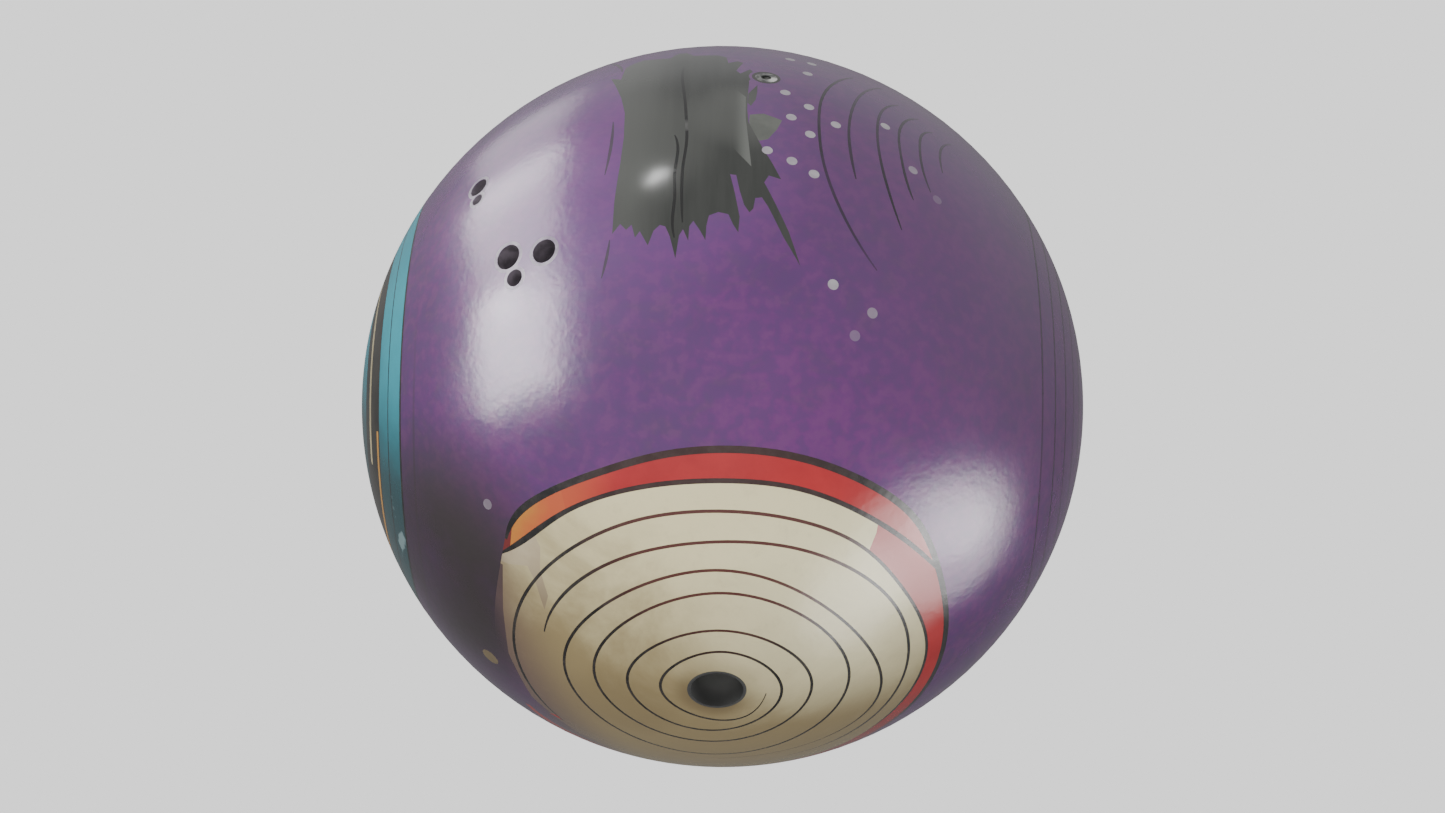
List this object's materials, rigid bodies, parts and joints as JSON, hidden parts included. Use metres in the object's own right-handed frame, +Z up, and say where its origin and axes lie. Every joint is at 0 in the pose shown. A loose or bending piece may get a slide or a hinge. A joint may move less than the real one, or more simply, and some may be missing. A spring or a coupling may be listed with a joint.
{
  "type": "bowling ball",
  "caption": "Drilled bowling ball with weight block, filler core, thick cover, lined holes and inlaid artwork: rings, spiral, bands, brush stroke and dots.",
  "frame": {"origin": "centre of the ball", "axes": "-Y out of the balance hole at the middle of the ringed panel; +Z up, through the brush stroke; -X out of the teal ringed cap, +X out of the thin-line cap"},
  "size_m": [0.217, 0.2168, 0.217],
  "materials": {
    "cover_purple": "satin",
    "filler": "matte",
    "dense_block": "matte",
    "flip_dense": "matte",
    "pin_pale": "gloss",
    "ink_black": "satin",
    "sleeve_black": "matte",
    "insert_pale": "satin",
    "cream": "satin",
    "frayed": "satin",
    "shaded": "satin",
    "red": "satin",
    "orange": "satin",
    "dark_red": "satin",
    "stroke_black": "gloss",
    "stroke_grey": "gloss",
    "line_grey": "satin",
    "dot_white": "satin",
    "dot_faint": "satin",
    "tan": "satin",
    "teal": "satin",
    "band_black": "satin"
  },
  "bodies": {
    "root": {"balance_hole_sleeve": "sleeve_black", "brush_stroke": "stroke_black", "cap_black_band": "band_black", "cap_cream_stripe": "cream", "cap_hub": "cream", "cap_hub_outline": "ink_black", "cap_inner_teal": "teal", "cap_middle_teal": "teal", "cap_orange_stripe": "orange", "cap_outer_teal": "teal", "cap_outline": "ink_black", "cap_pinstripe": "ink_black", "contour_lines": "line_grey", "coverstock": "cover_purple", "cream_panel": "cream", "dark_red_sliver": "dark_red", "divider_line": "ink_black", "faint_dots": "dot_faint", "flip_block": "flip_dense", "frayed_patch": "frayed", "grip_insert_single": "insert_pale", "grip_insert_twin": "insert_pale", "locator_pin": "pin_pale", "orange_tip": "orange", "outer_core": "filler", "panel_outline": "ink_black", "pin_collar": "ink_black", "red_band": "red", "right_cap_rings": "line_grey", "second_red_band": "red", "shaded_edge": "shaded", "spiral_ink": "ink_black", "stroke_creases": "stroke_black", "stroke_fold": "stroke_grey", "stroke_leaf": "stroke_black", "stroke_streaks": "stroke_black", "stroke_wash": "stroke_grey", "tan_spot": "tan", "vent_insert_twin": "insert_pale", "weight_block": "dense_block", "white_dots": "dot_white"}
  },
  "joints": []
}
